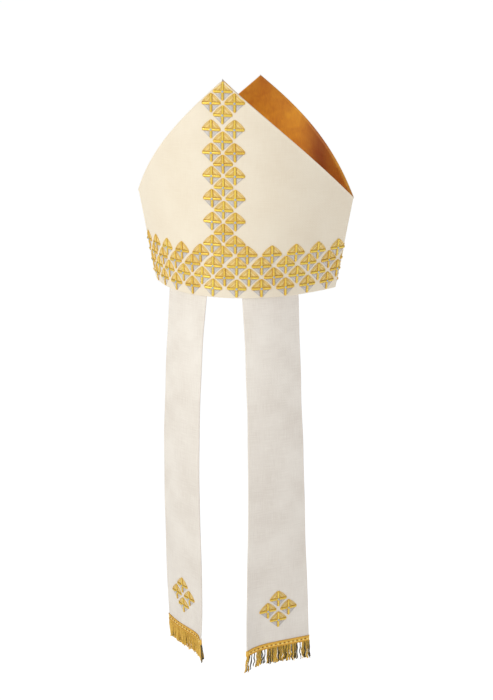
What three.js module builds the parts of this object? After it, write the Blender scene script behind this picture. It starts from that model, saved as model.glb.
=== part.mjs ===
// A bishop's mitre: two stiff cloth panels sewn together up the sides, a satin crown lining
// folded down between the two horns, and two fringed lappets that hang from inside the back rim.
// Millimetres, +Z up. The origin is the middle of the rim, and the wearer faces +Y.

import * as THREE from 'three';

// Head opening and panels
const RIM_ROUND = 600;        // all the way round the rim
const RIM_TURN = 1.106;       // radians that the rim turns from a panel's middle to a side seam
const SIDE_TURN = 0.938;      // and the same where the side seams end, as the hat is flatter there
const TURN_EASE = 0.63;       // how much faster it turns at the middle than on average
const FLARE_DEPTH = 1300;     // the panels flare from a point this far below the rim
const SIDE_HEIGHT = 107;      // rim to the point where a side seam ends and the horns part
const BOW_HEIGHT = 104;       // above this a horn bows inwards
const PANEL_WALL = 2;         // cloth on its stiffening
const GAP = 0.3;              // between sewn pieces

// Each panel's side of the hat, the height of its horn and how far the horn's tip bows inwards
const BACK = { name: 'back_panel', side: -1, tip: 244, bow: 9 };
const FRONT = { name: 'front_panel', side: 1, tip: 238, bow: 15.5 };

// Crown lining: it lines both horns and crosses between them in a soft trough
const LINING_WALL = 1;
const LINING_SLACK = 0.6;     // between the lining and the panels
const TROUGH_SHOULDER = 104;  // height at the side seams where the lining leaves the panels
const TROUGH_RISE = 20;       // how much higher it leaves them at the middle of the panels
const TROUGH_DROP = 16;       // how far the trough's floor lies below its shoulder in the middle
const TROUGH_END_DROP = 1.5;  // and the same at the side seams
const TROUGH_SQUARENESS = 3;  // 2 is an ellipse, and more is squarer
const VALLEY_DROP = 6;        // depth of the fold along the floor's middle

// Lappets, as cut
const LAPPET_WALL = 2;
const LAPPET_SLACK = 0.5;     // between a lappet and the panel that it is sewn to
const LAPPET_ARC = 57.3;      // along the rim, from the back panel's middle to a lappet's middle
const LAPPET_TUCK = 16;       // length sewn inside the rim
const LAPPET_DROP = 449;      // rim to the lower edge
const LAPPET_TOP_WIDTH = 69;
const LAPPET_BOTTOM_WIDTH = 90;
const LAPPET_WAIST = 6.5;     // how much narrower it is halfway than a straight taper
const CURL_POWER = 6;         // the curl grows with this power of the way down

// How each lappet hangs. Its lower end lies further out and further in than its top, and it
// bellies outwards and inwards halfway down. The lower end lies at an angle from the X axis,
// turns by endTurn from edge to edge, and its inner edge curls by curl more towards the back.
const LAPPETS = [
  {
    side: 1, name: 'right', out: -3.8, inward: 42.9, bellyOut: 0.6, bellyIn: 8.8,
    endAngle: 0.684, endTurn: 0.322, curl: 0.716,
  },
  {
    side: -1, name: 'left', out: 23.8, inward: 53.9, bellyOut: 9.5, bellyIn: 4.2,
    endAngle: 0.647, endTurn: 0.436, curl: 0.934,
  },
];

// Bullion fringe, with its woven heading, along each lappet's lower edge
const FRINGE_HEIGHT = 31;
const FRINGE_WALL = 4;
const FRINGE_OVERHANG = 1;    // at each side of the lappet

// How finely the curved walls are faceted
const PANEL_COLUMNS = 28;
const PANEL_ROWS = 10;
const TROUGH_ROWS = 12;
const HORN_LINING_ROWS = 6;
const LAPPET_COLUMNS = 8;
const LAPPET_ROWS = 16;
const FRINGE_ROWS = 2;
const ARC_STEPS = 60;

const HALF_PANEL = RIM_ROUND / 4;

const CREAM = { color: 0xeee4d2, roughness: 0.9, metalness: 0 };
const SATIN = { color: 0xb86c28, roughness: 0.45, metalness: 0 };
const LINEN = { color: 0xe9e2d6, roughness: 0.9, metalness: 0 };
const BULLION = { color: 0xd6a440, roughness: 0.4, metalness: 0.6 };

// Angle that a panel has turned by its side seam, at this height
function seamTurn(height) {
  const risen = Math.min(Math.max(height / SIDE_HEIGHT, 0), 1);
  return RIM_TURN + (SIDE_TURN - RIM_TURN) * risen;
}

// Angle between the X axis and a panel at this height, this far along the rim from the panel's
// middle. It turns fastest at the middle.
function panelTurn(arc, height) {
  const share = arc / HALF_PANEL;
  return seamTurn(height) * share * (1 + TURN_EASE * (1 - share));
}

// Where a line gets to when it sets out along X and turns as turnAt says
function walk(length, turnAt) {
  const step = length / ARC_STEPS;
  const end = { x: 0, y: 0 };
  for (let i = 0; i < ARC_STEPS; i += 1) {
    const turn = turnAt((i + 0.5) * step);
    end.x += Math.cos(turn) * step;
    end.y += Math.sin(turn) * step;
  }
  return end;
}

// A point of a panel or of a layer inset from its outer face. across runs from -1 at one seam
// to 1 at the other, and each layer stops half a gap short of the seam's plane.
function panelPoint(panel, across, height, inset) {
  const flare = 1 + height / FLARE_DEPTH;
  const seam = seamTurn(height);
  const cut = (inset * Math.cos(seam) + GAP / 2) / (Math.sin(seam) * flare);
  const arc = Math.abs(across) * (HALF_PANEL - cut);
  const turnAt = (way) => panelTurn(way, height);
  const turn = turnAt(arc);
  const point = walk(arc, turnAt);
  const x = point.x * flare - inset * Math.sin(turn);
  const depth = (walk(HALF_PANEL, turnAt).y - point.y) * flare - inset * Math.cos(turn);
  const risen = Math.max(height - BOW_HEIGHT, 0) / (panel.tip - BOW_HEIGHT);
  const bow = panel.bow * risen ** 2 * Math.cos(across * Math.PI / 2);
  return new THREE.Vector3(Math.sign(across) * x, panel.side * (depth - bow), height);
}

// Height of a panel's upper edge, which is cut straight from the side point to the horn's tip
function edgeHeight(panel, across) {
  const share = Math.abs(across);
  const sideFlare = 1 + SIDE_HEIGHT / FLARE_DEPTH;
  const hornHeight = panel.tip - SIDE_HEIGHT;
  const risen = sideFlare * (1 - share) / (sideFlare + share * hornHeight / FLARE_DEPTH);
  return SIDE_HEIGHT + risen * hornHeight;
}

// A closed sheet between two layers, each a grid of points. at(across, down, layer) gives a
// point, with across from -1 to 1, down from 0 to 1, and layer 0 or 1.
function closedSheet(columns, rows, at) {
  const points = [];
  const faces = [];
  const index = (column, row, layer) => (layer * (rows + 1) + row) * (columns + 1) + column;
  const quad = (a, b, c, d) => faces.push([a, b, c], [a, c, d]);
  for (let layer = 0; layer < 2; layer += 1) {
    for (let row = 0; row <= rows; row += 1) {
      for (let column = 0; column <= columns; column += 1) {
        points.push(at(2 * column / columns - 1, row / rows, layer));
      }
    }
  }
  for (let row = 0; row < rows; row += 1) {
    for (let column = 0; column < columns; column += 1) {
      const corners = [[0, 0], [1, 0], [1, 1], [0, 1]];
      const near = corners.map(([c, r]) => index(column + c, row + r, 0));
      const far = corners.map(([c, r]) => index(column + c, row + r, 1));
      quad(...near);
      quad(...far.reverse());
    }
  }
  for (let column = 0; column < columns; column += 1) {
    quad(index(column, 0, 1), index(column + 1, 0, 1), index(column + 1, 0, 0), index(column, 0, 0));
    quad(index(column, rows, 0), index(column + 1, rows, 0),
      index(column + 1, rows, 1), index(column, rows, 1));
  }
  for (let row = 0; row < rows; row += 1) {
    quad(index(0, row, 0), index(0, row + 1, 0), index(0, row + 1, 1), index(0, row, 1));
    quad(index(columns, row, 1), index(columns, row + 1, 1),
      index(columns, row + 1, 0), index(columns, row, 0));
  }
  return facingOut(points, faces);
}

// Geometry of these faces, turned over if they enclose their volume inside out
function facingOut(points, faces) {
  const volume = faces.reduce((sum, [a, b, c]) => {
    const normal = new THREE.Vector3().crossVectors(points[b], points[c]);
    return sum + points[a].dot(normal);
  }, 0);
  const turned = volume < 0 ? faces.map(([a, b, c]) => [a, c, b]) : faces;
  const geometry = new THREE.BufferGeometry().setFromPoints(points);
  geometry.setIndex(turned.flat());
  geometry.computeVertexNormals();
  return geometry;
}

function piece(name, geometry, finish) {
  const mesh = new THREE.Mesh(geometry, new THREE.MeshStandardMaterial(finish));
  mesh.name = name;
  return mesh;
}

// Stiff five-sided panel: columns follow the lines that it flares along, from the rim to the edge
function panelPiece(panel) {
  const at = (across, down, layer) => {
    const height = edgeHeight(panel, across) * (1 - down);
    return panelPoint(panel, across, height, layer * PANEL_WALL);
  };
  return piece(panel.name, closedSheet(PANEL_COLUMNS, PANEL_ROWS, at), CREAM);
}

// Height at which the lining leaves the panels, higher at their middles than at the seams
function troughShoulder(across) {
  return TROUGH_SHOULDER + TROUGH_RISE * (1 - across ** 2);
}

// The trough between the horns, from the back shoulder at along = 0 to the front one at 1
function troughPoint(across, along, layer) {
  const inset = PANEL_WALL + LINING_SLACK + layer * LINING_WALL;
  const shoulder = troughShoulder(across);
  const back = panelPoint(BACK, across, shoulder, inset);
  const front = panelPoint(FRONT, across, shoulder, inset);
  const angle = along * Math.PI;
  const power = 2 / TROUGH_SQUARENESS;
  const level = Math.sign(Math.cos(angle)) * Math.abs(Math.cos(angle)) ** power;
  const middle = 1 - across ** 2;
  const drop = TROUGH_END_DROP + TROUGH_DROP * middle + (1 - layer) * LINING_WALL;
  const point = back.clone().lerp(front, (1 - level) / 2);
  point.z -= drop * Math.sin(angle) ** power;
  point.z -= VALLEY_DROP * middle * (1 - Math.abs(level)) ** 2;
  return point;
}

// Satin lining: down the back horn, across the trough and up the front horn
function crownLining() {
  const rows = 2 * HORN_LINING_ROWS + TROUGH_ROWS;
  const at = (across, down, layer) => {
    const row = Math.round(down * rows);
    const inset = PANEL_WALL + LINING_SLACK + layer * LINING_WALL;
    const past = row - HORN_LINING_ROWS;
    if (past >= 0 && past <= TROUGH_ROWS) return troughPoint(across, past / TROUGH_ROWS, layer);
    const panel = past < 0 ? BACK : FRONT;
    const share = past < 0 ? -past : past - TROUGH_ROWS;
    const shoulder = troughShoulder(across);
    const rise = (edgeHeight(panel, across) - shoulder) * share / HORN_LINING_ROWS;
    return panelPoint(panel, across, shoulder + rise, inset);
  };
  return piece('crown_lining', closedSheet(PANEL_COLUMNS, rows, at), SATIN);
}

// A point of a lappet's hanging length, or of its fringe. fallen is 0 at the rim and 1 at the
// lower edge, aside is the distance from its centre line, and inset the depth from its face.
function hangingPoint(lappet, fallen, aside, inset) {
  const top = panelPoint(BACK, LAPPET_ARC / HALF_PANEL, 0, PANEL_WALL + LAPPET_SLACK);
  const belly = 4 * fallen * (1 - fallen);
  const settled = 1 - Math.max(1 - fallen, 0) ** 2;
  const curled = lappet.curl * Math.min(fallen, 1) ** CURL_POWER;
  const turnAt = (way) => {
    const sewn = panelTurn(LAPPET_ARC + way, 0);
    const free = lappet.endAngle + lappet.endTurn * way / LAPPET_BOTTOM_WIDTH;
    const towardsInner = Math.max(-2 * way / LAPPET_BOTTOM_WIDTH, 0);
    return sewn + (free - sewn) * settled + curled * towardsInner ** 2;
  };
  const section = walk(aside, turnAt);
  const turn = turnAt(aside);
  const x = top.x + lappet.out * fallen + lappet.bellyOut * belly + section.x;
  const y = top.y + lappet.inward * fallen + lappet.bellyIn * belly + section.y;
  return new THREE.Vector3(
    lappet.side * (x - inset * Math.sin(turn)),
    y + inset * Math.cos(turn),
    -LAPPET_DROP * fallen,
  );
}

// A point of the short length sewn flat inside the back panel
function tuckedPoint(lappet, height, aside, inset) {
  const across = (LAPPET_ARC + aside) / HALF_PANEL;
  const point = panelPoint(BACK, across, height, PANEL_WALL + LAPPET_SLACK + inset);
  point.x *= lappet.side;
  return point;
}

function lappetWidth(fallen) {
  const taper = LAPPET_TOP_WIDTH + (LAPPET_BOTTOM_WIDTH - LAPPET_TOP_WIDTH) * fallen;
  return taper - 4 * LAPPET_WAIST * fallen * (1 - fallen);
}

function lappetPiece(lappet) {
  const rows = LAPPET_ROWS + 1;
  const at = (across, down, layer) => {
    const fallen = (down * rows - 1) / LAPPET_ROWS;
    const inset = layer * LAPPET_WALL;
    if (fallen < 0) return tuckedPoint(lappet, LAPPET_TUCK, across * LAPPET_TOP_WIDTH / 2, inset);
    return hangingPoint(lappet, fallen, across * lappetWidth(fallen) / 2, inset);
  };
  return piece(`lappet_${lappet.name}`, closedSheet(LAPPET_COLUMNS, rows, at), LINEN);
}

function fringePiece(lappet) {
  const outer = (LAPPET_WALL - FRINGE_WALL) / 2;
  const at = (across, down, layer) => {
    const fallen = 1 + (GAP + down * (FRINGE_HEIGHT - GAP)) / LAPPET_DROP;
    const aside = across * (lappetWidth(fallen) / 2 + FRINGE_OVERHANG);
    return hangingPoint(lappet, fallen, aside, outer + layer * FRINGE_WALL);
  };
  return piece(`fringe_${lappet.name}`, closedSheet(LAPPET_COLUMNS, FRINGE_ROWS, at), BULLION);
}

const mitre = new THREE.Group();
mitre.add(panelPiece(BACK), panelPiece(FRONT), crownLining());
for (const lappet of LAPPETS) {
  mitre.add(lappetPiece(lappet), fringePiece(lappet));
}

export default mitre;
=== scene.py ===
"""A bishop's mitre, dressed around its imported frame.

Two stiff panels of cream cloth are embroidered with rows of cross-barred diamonds in gold and
silver thread. Gold satin lines the horns and the trough between them, and two lappets with
bullion fringe hang from inside the back rim.

Embroidery, cords and fringe are laid out flat, as they are worked, by Geometry Nodes: x runs
across the cloth, y up it and z off its face. Then they are wrapped onto the shaped piece.
"""

import math
from collections import namedtuple

import bmesh
import bpy
import numpy as np
from mathutils import Matrix, Vector


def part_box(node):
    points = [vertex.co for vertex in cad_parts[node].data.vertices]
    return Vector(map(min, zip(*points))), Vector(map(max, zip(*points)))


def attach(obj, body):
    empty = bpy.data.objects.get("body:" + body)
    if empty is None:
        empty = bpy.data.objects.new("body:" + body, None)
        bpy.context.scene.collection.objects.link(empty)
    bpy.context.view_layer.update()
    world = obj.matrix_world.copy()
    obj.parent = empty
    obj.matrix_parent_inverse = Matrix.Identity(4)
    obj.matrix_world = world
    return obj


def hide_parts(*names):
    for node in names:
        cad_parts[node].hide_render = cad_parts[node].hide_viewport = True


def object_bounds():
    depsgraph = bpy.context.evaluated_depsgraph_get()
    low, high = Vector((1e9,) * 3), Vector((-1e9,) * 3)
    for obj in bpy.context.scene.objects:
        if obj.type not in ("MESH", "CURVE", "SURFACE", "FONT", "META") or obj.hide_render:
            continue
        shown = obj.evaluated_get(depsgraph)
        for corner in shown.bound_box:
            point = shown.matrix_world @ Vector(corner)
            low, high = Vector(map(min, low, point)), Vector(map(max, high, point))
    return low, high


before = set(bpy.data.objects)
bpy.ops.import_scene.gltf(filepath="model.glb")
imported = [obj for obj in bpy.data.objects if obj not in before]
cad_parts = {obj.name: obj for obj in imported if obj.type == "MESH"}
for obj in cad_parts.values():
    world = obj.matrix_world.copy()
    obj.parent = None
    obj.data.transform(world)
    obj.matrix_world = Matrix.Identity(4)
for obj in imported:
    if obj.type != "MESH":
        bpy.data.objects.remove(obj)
cad_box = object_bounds()

MM = 0.001
RIPPLES = 7                   # waves that cross to make cloth uneven

# The cut of the hat, as the frame has it
RIM_ROUND = 600 * MM          # round the head opening
HALF_PANEL = RIM_ROUND / 4
RIM_TURN = 1.106              # radians that the rim turns from a panel's middle to a seam
SIDE_TURN = 0.938             # and the same where the side seams end
TURN_EASE = 0.63              # how much faster it turns at the middle than on average
FLARE_DEPTH = 1300 * MM       # the panels flare from a point this far below the rim
SIDE_HEIGHT = 107 * MM        # where the side seams end and the horns part
BOW_HEIGHT = 104 * MM         # above this a horn bows inwards
PANEL_WALL = 2 * MM
PANEL_WAVES = 0.25 * MM       # unevenness of the cloth on its stiffening
PANEL_WAVE_LENGTH = 60 * MM
PANEL_FLAT_EDGE = 12 * MM     # it dies out this close to an edge
EDGE_SLOPE = 0.7              # radians that a horn's edge is cut at

# proud is how far the lining's folded edge shows past a panel's, and cover how far it is turned
# over the panel's wall
Panel = namedtuple("Panel", "name side tip bow proud cover")
BACK = Panel("back", -1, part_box("back_panel")[1].z, 9 * MM, 0.1 * MM, 0 * MM)
FRONT = Panel("front", 1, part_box("front_panel")[1].z, 15.5 * MM, 0.8 * MM, 1.9 * MM)

# Turned edges
EDGE_WELT = 0.6 * MM          # how far a horn's turned edge stands off the cloth
EDGE_WELT_IN = 1.0 * MM       # how far in from the edge it is thickest
EDGE_WELT_WIDE = 0.8 * MM

# Lining
# Bands of painted shade on the satin, where it would turn from the light in soft folds: the
# horn's side, the place and the spread along the rim, and how dark the painted shade goes
Fold = namedtuple("Fold", "side along spread strength")
PAINTED_SHADE_BANDS = [
    Fold(1, 89 * MM, 21 * MM, 0.8),
    Fold(1, 150 * MM, 8 * MM, 0.4),
    Fold(1, -70 * MM, 24 * MM, 0.6),
    Fold(-1, -84 * MM, 20 * MM, 0.8),
    Fold(-1, 66 * MM, 26 * MM, 0.5),
]
LINING_WALL = 1 * MM
LINING_INSET = PANEL_WALL + 0.15 * MM
TROUGH_SHOULDER = 104 * MM
TROUGH_RISE = 20 * MM
TROUGH_DROP = 16 * MM
TROUGH_END_DROP = 1.5 * MM
TROUGH_SQUARENESS = 3
VALLEY_DROP = 6 * MM
LINING_HORN_SHARE = 0.36      # of the lining's length that goes down each horn
LINING_CREASES = 1.6 * MM     # unevenness of the satin in the trough
LINING_CREASE_LENGTH = 34 * MM
LINING_PUFF = 0.5 * MM        # and where it lies loose on the horns
LINING_PUFF_LENGTH = 42 * MM
LINING_FULLNESS = 0.35        # share of the puff that stands off everywhere
TROUGH_ACROSS = 120 * MM      # about how far the satin goes from horn to horn
HALF_TROUGH = 80 * MM         # half of what it is cut to there, at its fullest
HORN_DEPTH = 100 * MM         # and about how far down each horn
LINING_HELD_EDGE = 14 * MM    # it lies flat this close to its sewn edge
# Above this height the lining gets painted shade, up to TIP_SHADE at its darkest
TIP_SHADE_FROM = 185 * MM     # the lining darkens above this height
TIP_SHADE = 0.4
BACK_HALF_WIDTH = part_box("back_panel")[1].x

# Lappets
# out and inward are how far a lappet's foot hangs from its head, and belly_out and belly_in how
# far it bows between; end_angle and end_turn set how it faces and rounds at the foot, curl how
# its inner edge rolls there, and dip how much lower the foot's corners hang than its middle
Lappet = namedtuple(
    "Lappet", "name side out inward belly_out belly_in end_angle end_turn curl dip")
LAPPETS = [
    Lappet("right", 1, -3.8 * MM, 42.9 * MM, 0.6 * MM, 8.8 * MM, 0.684, 0.322, 0.716, 2.2 * MM),
    Lappet("left", -1, 23.8 * MM, 53.9 * MM, 9.5 * MM, 4.2 * MM, 0.647, 0.436, 0.934, 0 * MM),
]
LAPPET_WALL = 2 * MM
LAPPET_INSET = PANEL_WALL + 0.5 * MM
LAPPET_ARC = 57.3 * MM        # its middle, along the rim from the back panel's middle
LAPPET_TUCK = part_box("lappet_right")[1].z
LAPPET_DROP = -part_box("lappet_right")[0].z
LAPPET_TOP = 69 * MM
LAPPET_BOTTOM = 90 * MM
LAPPET_WAIST = 6.5 * MM
CURL_POWER = 6                # a lappet's curl grows with this power of the way down
HEM_IN = 3.6 * MM             # hem line, in from a lappet's edge
HEM_WIDE = 0.7 * MM
HEM_GROOVE = 0.35 * MM
LAPPET_WAVER = 0.9 * MM       # how far its long edges stray from straight
LAPPET_WAVER_LENGTH = 90 * MM
LAPPET_WAVES = 0.9 * MM       # unevenness of the hanging cloth
LAPPET_WAVE_LENGTH = 120 * MM

# Embroidered diamonds, as worked flat
DIAMOND_WIDE = 23 * MM        # corner to corner
DIAMOND_TALL = 21.2 * MM
BAR_WIDE = 3.5 * MM
BAR_HIGH = 1.4 * MM
BAR_LIFT = 0.1 * MM           # the bars' middles off the cloth
BAR_RISE = 0.5 * MM           # how far the upright bar's middle stands above the crossing
BAR_STITCH = 0.75 * MM        # thread to thread along a satin-stitched bar
BAR_RIDGE = 0.14              # share of its girth that it loses between two threads
BAR_BLUNTNESS = 0.03          # how little its ends close, on a scale where 1 is not at all
LAID_STITCH = 0.62 * MM       # thread to thread in the laid filling
LAID_HIGH = 0.26 * MM
LAID_LOWEST = 0.8             # shares of that height between which its threads vary
LAID_HIGHEST = 1.15
LAID_OVERLAP = 1.25           # a thread's width, in the spaces between threads
LAID_MARGIN = 0.42 * BAR_WIDE # the filling starts this far from a bar's middle line
UPPER_FULLNESS = 1.17         # the gold filling swells past a straight edge
LOWER_FULLNESS = 1.07         # and the silver filling a little less
# The couched cord round the upper two sides, in half widths and half heights of the diamond
OUTLINE_HALF = [(0.98, -0.02), (0.98, 0.14), (0.61, 0.6), (0.13, 1.0), (0, 1.04)]
OUTLINE_LIFT = 0.25 * MM
OUTLINE_RADIUS = 0.5 * MM
OUTLINE_TWIST = 2.2 * MM
KNOT_RADIUS = 1.4 * MM
KNOT_HIGH = 0.7 * MM
HAND_UNEVENNESS = 0.03        # how far a worked diamond's turn and size stray

# Where they stand: a column up each panel's middle, and a band of rows round the rim
COLUMN_SHIFT = 0.6 * MM       # the column stands this far off the panel's middle
COLUMN_ACROSS = 27.2 * MM
COLUMN_UP = 25.8 * MM
COLUMN_BELOW_TIP = 12.6 * MM
COLUMN_BREAK = 2.9 * MM       # the topmost four stand this much clear of the rest
COLUMN_PAIRS = 7              # each a middle one with two below and beside it
BAND_ACROSS = 29.1 * MM
BAND_EASE = 2 * MM            # its diamonds stand closer near the middle, by up to this shift
BAND_FOOT = 10.9 * MM         # rim to the middle of the lowest row
BAND_ROW = 12.7 * MM
BAND_ROWS = 4
BAND_SHIFT = 2.1 * MM         # the band starts this far off the panel's middle
TOP_ROW_SHIFT = -2.3 * MM
BAND_HALF_COUNT = 5           # each way from the middle one
SEAM_ALLOWANCE = 0.4 * MM     # the embroidery stops this far short of a side seam
LAPPET_DIAMOND_HEIGHT = 44.2 * MM
LAPPET_DIAMOND_PITCH = 28.1 * MM

# The end of the sewing cotton that closes a horn's tip: across, above the tip, and off the cloth
TIP_THREAD = [(0.5, -2.4, 0.2), (0.6, -0.6, 0.5), (0.1, 0.7, -0.6), (-0.2, 0.5, -1.8),
              (-0.5, -1.6, -2.9)]
TIP_THREAD_RADIUS = 0.4 * MM
TIP_THREAD_TWIST = 1.5 * MM

# Fringe and its heading
HEADING_HIGH = 7.4 * MM
HEADING_THICK = 3.0 * MM
HEADING_OVERHANG = 1 * MM
HEADING_LAP = 0.6 * MM        # how far it laps up over a lappet's lower edge
HEADING_RIBS = 0.12 * MM
HEADING_RIB_LENGTH = 0.62 * MM
EDGING_PLACES = (0.1 * MM, 0.9 * MM - HEADING_HIGH)  # up from a lappet's lower edge
EDGING_RADIUS = 0.62 * MM
EDGING_TWIST = 2.1 * MM
EDGING_SHORT = 0.6 * MM       # the edging cords stop this far short of the heading's ends
BOBBLE_PITCH = 6 * MM
BOBBLE_RADIUS = 1.4 * MM
BOBBLE_HIGH = 1.1 * MM
BOBBLE_LIFT = 0.2 * MM
TIE_RADIUS = 1 * MM
TIE_HIGH = 0.6 * MM
HEADING_UNEVENNESS = 0.12     # how far its bobbles' and ties' turn and size stray
CORD_RADIUS = 0.85 * MM
CORD_LENGTH = 25 * MM
SHORTEST_CORD = 0.84          # the shortest cord, as a share of that length
CORD_TWIST = 4.2 * MM         # length of one full twist
PLY_FLATNESS = 0.58           # a two-ply cord's narrow way, as a share of its broad one
CORD_SWING = 0.045            # radians that each cord strays from hanging straight
CORD_START = 1.2 * MM         # the cords start this far up inside the heading
LOCK_WIDE = 3.8 * MM          # the cords hang in locks about this wide
# Each cord's place in its lock, in lock widths aside, and how far it stands off the cloth
GOLD_IN_LOCK = [(-0.26, 0.3 * MM), (0.22, 0.2 * MM), (0, -1.5 * MM)]
SHADE_CORDS_IN_LOCK = [(-0.02, -0.2 * MM), (0.5, 0.3 * MM)]
SHADE_CORDS_BEHIND = 1.5 * MM        # how much further back the dark shade cords hang on the left fringe
LOOSE_CORD_LIFT = -1 * MM     # the one dark shade cord that is left where a lock is worn away
CORD_WOBBLE = 0.25 * MM
SWAY = 7 * MM                 # how far the locks drift together at their ends
SWAY_LENGTH = 8 * MM          # from one drift to the next
SWAY_SHARES = (1.0, 0.0, 0.35)  # of the sway that goes across, up and off the cloth
END_SPLAY = 8 * MM            # how far the right fringe's last lock swings out on the left
WORN_SHORT = 0.15             # share of their length that its cords have lost there
WORN_ANYWHERE = 0.05          # chance that a lock is worn away
WORN_STRETCHES = [(-0.9, -0.35, 0.5), (0.6, 0.75, 0.9)]  # from, to, and the added chance
LEFT_WORN = 0.3               # the left fringe is worn this much as often

# Cloth grain
WEAVE_PITCH = 0.95 * MM       # thread to thread, twice the real spacing so that it shows
SLUB_LENGTH = 18 * MM         # how long its thicker threads stay thick
CLOTH_MOTTLE = 45 * MM
CREASE_WIDTH = 5 * MM         # the satin's small creases, in its bump and as painted shade in its colour
CREASE_LENGTH = 15 * MM
SATIN_MOTTLE = 24 * MM

# Studio: angles are in radians, and the camera's place is given before it turns about the hat
CAMERA_AZIMUTH = 0.2784
CAMERA_TILT = 0.2562
CAMERA_ROLL = -0.005
CAMERA_PLACE = (0.0022, -1.6937, 0.3602)
LENS = 49.7
FLOOR_REACH = 400             # metres each way, so that its edge is never seen
FLOOR_BELOW = 0.35            # how far the fringe hangs above the floor
# Name, place, what it is aimed at, width, spread, power and colour
LIGHTS = [
    ("left light", (-1.5, -1.9, 1.3), (0, 0, 0.14), 1.2, 0.5, 1.45, "#f9f8ee"),
    ("right light", (1.7, -1.6, 1.2), (0, 0, 0.1), 1.0, 0.6, 0.15, "#f6f6ff"),
    ("top light", (0.1, -0.9, 2.3), (0, 0, 0.1), 1.2, 0.8, 0.5, "#ffffff"),
]


# Nodes -------------------------------------------------------------------------------------

def add(tree, kind, inputs=None, **settings):
    """Add a node. inputs gives, for a socket's name or number, a value, or a node whose first
    output is linked to it, or one of a node's outputs."""
    node = tree.nodes.new(kind)
    for name, value in settings.items():
        setattr(node, name, value)
    for name, value in (inputs or {}).items():
        source = value.outputs[0] if isinstance(value, bpy.types.Node) else value
        if isinstance(source, bpy.types.NodeSocket):
            tree.links.new(source, node.inputs[name])
        else:
            node.inputs[name].default_value = source
    return node


def new_tree(name, sockets):
    """An empty Geometry Nodes tree with these named inputs. Returns it and its input node."""
    tree = bpy.data.node_groups.new(name, "GeometryNodeTree")
    tree.is_modifier = True
    kinds = {"Geometry": "Geometry", **sockets}
    for label, kind in kinds.items():
        tree.interface.new_socket(label, in_out="INPUT", socket_type="NodeSocket" + kind)
    tree.interface.new_socket("Geometry", in_out="OUTPUT", socket_type="NodeSocketGeometry")
    return tree, add(tree, "NodeGroupInput").outputs


def shaded(tree, copies, name, seed):
    """Mark each of a tree's copies with its own random shade, from 0 to 1."""
    shade = add(tree, "FunctionNodeRandomValue", {"Seed": seed})
    return add(tree, "GeometryNodeStoreNamedAttribute", {
        "Geometry": copies, "Name": name, "Value": shade.outputs[1]},
        data_type="FLOAT", domain="INSTANCE")


def stray(tree, amount, seed):
    """A random value up to this amount either way."""
    least = add(tree, "ShaderNodeMath", {0: amount, 1: -1.0}, operation="MULTIPLY")
    return add(tree, "FunctionNodeRandomValue", {"Min": least.outputs[0], "Max": amount,
                                                 "Seed": seed}).outputs[1]


def close_tree(tree, geometry, material):
    """End a tree as every one here ends: real geometry, in one material."""
    smooth = add(tree, "GeometryNodeSetShadeSmooth", {"Geometry": geometry})
    real = add(tree, "GeometryNodeRealizeInstances", {"Geometry": smooth})
    dressed = add(tree, "GeometryNodeSetMaterial", {"Geometry": real, "Material": material})
    add(tree, "NodeGroupOutput", {"Geometry": dressed})
    return tree


def grow(tree, base, **values):
    """Run a tree on a base mesh and return the plain mesh that it makes."""
    seed_object = bpy.data.objects.new("base", base)
    bpy.context.scene.collection.objects.link(seed_object)
    modifier = seed_object.modifiers.new("grow", "NODES")
    modifier.node_group = tree
    names = {s.name: s.identifier for s in tree.interface.items_tree if s.in_out == "INPUT"}
    for name, value in values.items():
        modifier[names[name.replace("_", " ").capitalize()]] = value
    graph = bpy.context.evaluated_depsgraph_get()
    mesh = bpy.data.meshes.new_from_object(seed_object.evaluated_get(graph))
    bpy.data.objects.remove(seed_object)
    return mesh


def points_mesh(points, edges=()):
    mesh = bpy.data.meshes.new("points")
    mesh.from_pydata([tuple(p) for p in points], list(edges), [])
    return mesh


def line_mesh(points):
    """A polyline, for a tree that follows a path."""
    return points_mesh(points, [(i, i + 1) for i in range(len(points) - 1)])


def hidden_part(name, mesh):
    """An object that trees take copies of, and that isn't in the scene itself."""
    return bpy.data.objects.new(name, mesh)


# Finishes ----------------------------------------------------------------------------------

def linear(colour):
    """An sRGB hex colour as linear red, green, blue and alpha."""
    channels = [int(colour[i:i + 2], 16) / 255 for i in (1, 3, 5)]
    return tuple(c / 12.92 if c <= 0.04045 else ((c + 0.055) / 1.055) ** 2.4
                 for c in channels) + (1,)


def new_finish(name, **values):
    """A material whose Principled shader has these values. Returns it, its tree and shader."""
    finish = bpy.data.materials.new(name)
    finish.use_nodes = True
    tree = finish.node_tree
    shader = tree.nodes["Principled BSDF"]
    for label, value in values.items():
        shader.inputs[label.replace("_", " ")].default_value = value
    return finish, tree, shader


def dress(tree, shader, colour, height, strength, depth):
    """Link a shader's colour, and raise its grain by this height."""
    tree.links.new(colour.outputs[2], shader.inputs["Base Color"])
    relief = add(tree, "ShaderNodeBump", {"Strength": strength, "Distance": depth,
                                          "Height": height})
    tree.links.new(relief.outputs[0], shader.inputs["Normal"])


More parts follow.
